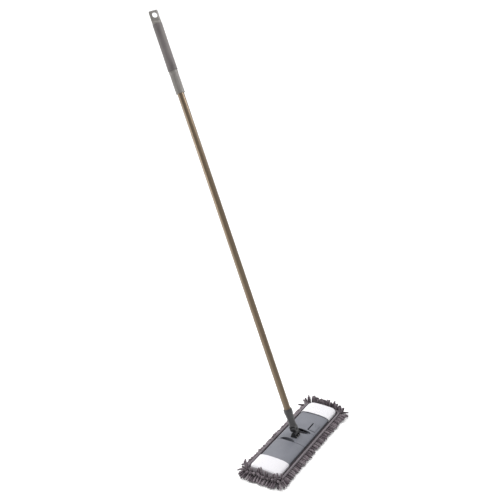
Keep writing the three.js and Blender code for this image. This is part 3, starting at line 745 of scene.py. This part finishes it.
def underside(rng, spacing=12.6):
    """Bent tufts in staggered rows under the whole half, lying on the floor."""
    xs = np.arange(6, PAD_HIGH[0] - 8, spacing * 0.87)
    roots = []
    for row, x in enumerate(xs):
        for y in np.arange(-PAD_HIGH[1] + 8 + (row % 2) * spacing / 2, PAD_HIGH[1] - 6, spacing):
            roots.append((x, y, 0))
    point = np.array(roots) + rng.uniform(-1.5, 1.5, (len(roots), 3)) * (1, 1, 0)
    n = len(point)
    heading = rng.uniform(0, 2 * math.pi, n)
    way = np.stack([np.cos(heading), np.sin(heading), np.zeros(n)], axis=1)
    length = rng.uniform(9, 14, (n, 1))
    start = point + UP * 11.4
    knee = point + way * length * 0.25 + UP * 5
    fall = point + way * length * 0.6 + UP * 3.6
    end = point + way * length + UP * (4 + rng.uniform(0, 1, (n, 1)))
    return curve((start, knee, fall, end), 8)


def make_tufts(half):
    """All tufts of one half, in groups of (paths, radius, sides, tone)."""
    rng = np.random.default_rng(23 + HALVES[half])
    end_rows = {
        "far": [
            (end_row(rng, 2, 27, 3, 6.2, 0.15), 3.1, 12, 0.5),
            (end_row(rng, 8, 22, 6, 6.6, 0.2), 3.2, 12, 0.6),
        ],
        "near": [
            (end_row(rng, 1.5, 22, 1, 8.4, 0.42), 2.8, 12, 0.6),
            (end_row(rng, 6, 11, 9, 7.4, 0.2), 3.2, 12, 0.6),
        ],
    }
    groups = [
        (fringe_row(rng, 7.9, -4, 11.5, 20.5, 4.0), 2.6, 12, 0.65),
        # The lower layer is set to tone 0, near black: painted shade in the gaps between the upper layer's
        # fingers.
        (fringe_row(rng, 7.9, -6, 8.0, 19.5, 3.6, 3.95), 2.8, 12, 0.0),
        *end_rows[half],
        (strays(half), 2.9, 12, 0.5),
        (underside(rng), 3.7, 7, 0.4),
    ]
    points, faces, shades = [], [], []
    for paths, radius, sides, tone in groups:
        paths[..., 0] = np.maximum(paths[..., 0], 2.6)
        radii = radius * rng.uniform(0.9, 1.1, len(paths))
        made, listed = tuft_mesh(paths, radii, sides, rng)
        base = sum(len(p) for p in points)
        points.append(made)
        faces += [tuple(v + base for v in face) for face in listed]
        tones = (tone * rng.choice((0.35, 0.8, 1.25, 1.6), len(paths)) + 0.05).clip(0, 1)
        shades.append(np.repeat(tones, made.shape[0] // len(paths)))
    replaced = [f"pile_{half}"] + (["pile_centre"] if half == "far" else [])
    piece = half_piece(half, "chenille", np.concatenate(points), faces, "chenille",
                       sharp=SHARP_PILE, replaces=replaced)
    shade = piece.data.attributes.new("shade", "FLOAT", "POINT")
    shade.data.foreach_set("value", np.concatenate(shades).astype(np.float32))
    return piece


# ---------------------------------------------------------------- pockets

POCKET_HOLD = 3.0      # mm, how softly the cloth turns over the frame's edge
POCKET_THICK = 1.0
POCKET_PITCH = 2.8     # mm between the hem's stitches
POCKET_ROUND = 5       # steps that the cloth takes to turn over the edge


def crown(y, half_y, edge, top):
    """Height of the crowned surface at y."""
    across = min(abs(y) / half_y, 1)
    return edge + (top - edge) * (1 - across ** (2 / 0.77)) ** (0.77 / 2)


def thicken(points, faces, thickness):
    """A closed sheet from an open surface, its second side set back along the normals."""
    p = np.array(points)
    normals = np.zeros_like(p)
    for face in faces:
        a, b, c, d = (p[v] for v in face)
        normals[list(face)] += np.cross(c - a, d - b)
    normals /= np.linalg.norm(normals, axis=1, keepdims=True)
    both = np.concatenate([p, p - normals * thickness])
    edges = dict.fromkeys(pair for face in faces for pair in zip(face, face[1:] + face[:1]))
    shift = len(p)
    closed = list(faces) + [tuple(v + shift for v in reversed(f)) for f in faces]
    closed += [(b, a, a + shift, b + shift) for a, b in edges if (b, a) not in edges]
    return both, closed


def make_pocket(half):
    """The white cloth pocket over the end of the wing, stretched, with a turned hem."""
    rng = random.Random(5 if half == "far" else 11)
    half_y = POCKET_HIGH[1] - POCKET_HOLD
    corner = 14.0
    start, stop, low = POCKET_LOW[0], POCKET_HIGH[0] - POCKET_HOLD, POCKET_LOW[2] + 0.2
    rows, columns, rim = 46, 61, 12
    creases = [(rng.uniform(start, stop), rng.uniform(-half_y, half_y), rng.uniform(-0.6, 0.6),
                rng.uniform(12, 26), rng.uniform(-0.6, 0.45)) for _ in range(16)]

    def wrinkle(x, y):
        total = 0
        for cx, cy, turn, size, depth in creases:
            along = (x - cx) * math.cos(turn) + (y - cy) * math.sin(turn)
            beside = (y - cy) * math.cos(turn) - (x - cx) * math.sin(turn)
            total += depth * math.exp(-(along / size) ** 2 - (beside / 2.6) ** 2)
        pull = 0.16 * math.sin(y / 2.9) * math.exp(-(x - start) / 11)
        return max(-0.45, total + pull)

    def height(x, y):
        hem = 0.45 / (1 + math.exp((x - start - 7.5) * 2.2))
        reach = min(1, abs(y) / POCKET_HIGH[1])
        sag = 0.5 * max(0, (x - stop + 20) / 20) ** 2
        surface = crown(y, POCKET_HIGH[1], WING_LOW[2] + 3.4, POCKET_HIGH[2] - sag)
        return surface + (wrinkle(x, y) + hem) * (1 - reach ** 4)

    points = []
    for r in range(rows):
        for k in range(columns):
            share = 1 - 2 * k / (columns - 1)
            y = -half_y * math.sin(share * math.pi / 2)
            inset = max(abs(y) - (half_y - corner), 0)
            end = stop - corner + math.sqrt(max(corner ** 2 - inset ** 2, 0))
            x = start + (end - start) * (r / (rows - 1)) ** 0.9
            points.append((x, y, height(x, y)))
    faces = [tuple(reversed(face)) for face in grid_faces(rows, columns)]
    boundary = [r * columns for r in range(rows)]
    boundary += [(rows - 1) * columns + k for k in range(1, columns)]
    boundary += [r * columns + columns - 1 for r in reversed(range(rows - 1))]
    rim_points = [Vector(points[v]) for v in boundary]
    outward = []
    for i, here in enumerate(rim_points):
        before = rim_points[max(i - 1, 0)]
        after = rim_points[min(i + 1, len(rim_points) - 1)]
        way = after - before
        outward.append(Vector((way.y, -way.x, 0)).normalized())
    previous = boundary
    for j in range(1, rim + 1):
        first = len(points)
        for here, out in zip(rim_points, outward):
            turn = min(j / POCKET_ROUND, 1) * math.pi / 2
            down = max(0, (j - POCKET_ROUND) / (rim - POCKET_ROUND))
            drop = (here.z - POCKET_HOLD - low) * down
            wave = 0.25 * math.sin(here.x / 3.1 + here.y / 2.3) * down
            spot = here + out * (POCKET_HOLD * math.sin(turn) + wave)
            points.append((spot.x, spot.y, here.z - POCKET_HOLD * (1 - math.cos(turn)) - drop))
        now = list(range(first, len(points)))
        faces += [(a, b, d, c) for a, b, c, d in zip(previous, previous[1:], now, now[1:])]
        previous = now
    faces = [tuple(reversed(face)) for face in faces]
    points, faces = thicken(points, faces, POCKET_THICK)
    side = HALVES[half]
    placed = [(side * x * MM, y * MM, z * MM) for x, y, z in points]
    made = add_piece(f"pocket_cloth_{half}", placed, facing_out(side, faces), f"{half}_side",
                     "pocket_cloth", replaces=[f"pocket_{half}"])
    stations = []
    x = start + 6.4
    for i in range(int(2 * half_y / POCKET_PITCH)):
        y = -half_y + POCKET_PITCH / 2 + i * POCKET_PITCH
        slope = height(x, y + 0.5) - height(x, y - 0.5)
        direction = Vector((0, 1, slope)).normalized()
        up = Vector((0, -slope, 1)).normalized()
        spot = Vector((x, y, height(x, y) + 0.05))
        stations.append((Vector((side * spot.x, spot.y, spot.z)), direction, up))
    dots, stitch_faces = seam(stations, 1.9, 0.26)
    thread = add_piece(f"pocket_seam_{half}", [p * MM for p in dots], stitch_faces, f"{half}_side",
                       "pocket_cloth", MATERIALS["white_thread"])
    return made, thread


def surface_height(node, x, y):
    """Height in mm of a CAD node's upper surface over a point."""
    found, spot, _, _ = frame["nodes"][node].ray_cast(Vector((x * MM, y * MM, 1)), Vector((0, 0, -1)))
    return spot.z / MM if found else None


def make_pedal_ribs():
    """Low moulded ribs across the pedal's free end, to give a shoe some hold."""
    low, high = (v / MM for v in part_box("release_pedal"))
    sides, steps, radius = 8, 13, 0.55
    points, faces = [], []
    for x in (high[0] - 4.5 - 2.6 * i for i in range(4)):
        base = len(points)
        for y in smooth_steps(low[1] + 4, high[1] - 5, steps - 1):
            z = surface_height("release_pedal", x, y) - 0.15
            for k in range(sides):
                angle = 2 * math.pi * k / sides
                points.append((x + radius * math.cos(angle), y, z + radius * math.sin(angle)))
        faces += [tuple(base + v for v in face) for face in closed_tube_faces(steps, sides)]
    placed = [(px * MM, py * MM, pz * MM) for px, py, pz in points]
    add_piece("pedal_ribs", placed, faces, "pedal", "frame_plastic")


def make_spring():
    """The pedal's return spring, wound from round wire."""
    low, high = (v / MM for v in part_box("pedal_spring"))
    wire, turns, steps, sides = 0.3, 4, 180, 8
    radius = (high[0] - low[0]) / 2 - wire
    middle = (low + high) / 2
    points = []
    for i in range(steps + 1):
        angle = 2 * math.pi * turns * i / steps
        out = Vector((math.cos(angle), math.sin(angle), 0))
        z = low[2] + wire + 0.1 + (high[2] - low[2] - 2 * wire - 0.2) * i / steps
        for k in range(sides):
            turn = 2 * math.pi * k / sides
            ring = out * (radius + wire * math.cos(turn))
            points.append((middle[0] + ring.x, middle[1] + ring.y, z + wire * math.sin(turn)))
    placed = [(x * MM, y * MM, z * MM) for x, y, z in points]
    coil = add_piece("pedal_coil", placed, closed_tube_faces(steps + 1, sides), "far_side", "steel",
                     replaces=["pedal_spring"])
    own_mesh(coil)


def make_pad():
    for half in HALVES:
        backing = make_backing(half)
        tape = make_binding(half)
        stitches = make_binding_seam(half)
        tufts = make_tufts(half)
        for piece in (backing, tape, stitches, tufts):
            bend(piece)
        pocket, thread = make_pocket(half)


# ---------------------------------------------------------------- carried-over CAD nodes


def shade_smooth_group():
    group = bpy.data.node_groups.new("shade_smooth", "GeometryNodeTree")
    group.interface.new_socket("Geometry", in_out="INPUT", socket_type="NodeSocketGeometry")
    group.interface.new_socket("Geometry", in_out="OUTPUT", socket_type="NodeSocketGeometry")
    first = group.nodes.new("NodeGroupInput")
    smooth = group.nodes.new("GeometryNodeSetShadeSmooth")
    last = group.nodes.new("NodeGroupOutput")
    group.links.new(first.outputs[0], smooth.inputs["Geometry"])
    group.links.new(smooth.outputs["Geometry"], last.inputs[0])
    return group


EDGE_RADIUS = {  # how round each kind of plastic or metal edge is, in mm
    "frame_plastic": 0.55, "black_plastic": 0.4, "ferrule_plastic": 0.6, "cap_plastic": 0.9,
    "dark_plastic": 0.3, "steel": 0.25,
}


def dress_cad_nodes():
    """Material, rounded edges and smooth shading for every CAD node that stays in view."""
    group = shade_smooth_group()
    for part in frame["record"]["subparts"]:
        node, slot = frame["nodes"][part["node"]], part["material_slot"]
        node.data.materials.clear()
        node.data.materials.append(MATERIALS[slot])
        if slot not in EDGE_RADIUS:
            continue
        weld = node.modifiers.new("weld", "WELD")
        weld.merge_threshold = 0.01 * MM
        flats = node.modifiers.new("flats", "DECIMATE")
        flats.decimate_type = "DISSOLVE"
        flats.angle_limit = math.radians(0.4)
        node.modifiers.new("smooth", "NODES").node_group = group
        bevel = node.modifiers.new("edges", "BEVEL")
        bevel.width = EDGE_RADIUS[slot] * MM
        bevel.segments = 2
        bevel.limit_method = "ANGLE"
        bevel.angle_limit = math.radians(34)
        bevel.harden_normals = True
        node.modifiers.new("normals", "WEIGHTED_NORMAL").keep_sharp = True


MATERIALS = make_materials()
make_camera()
make_lights()
make_floor()
dress_cad_nodes()
make_tube("outer_tube", "lower_pole")
make_tube("inner_tube", "upper_pole")
make_collar()
make_grip()
make_pad()
make_pedal_ribs()
make_spring()
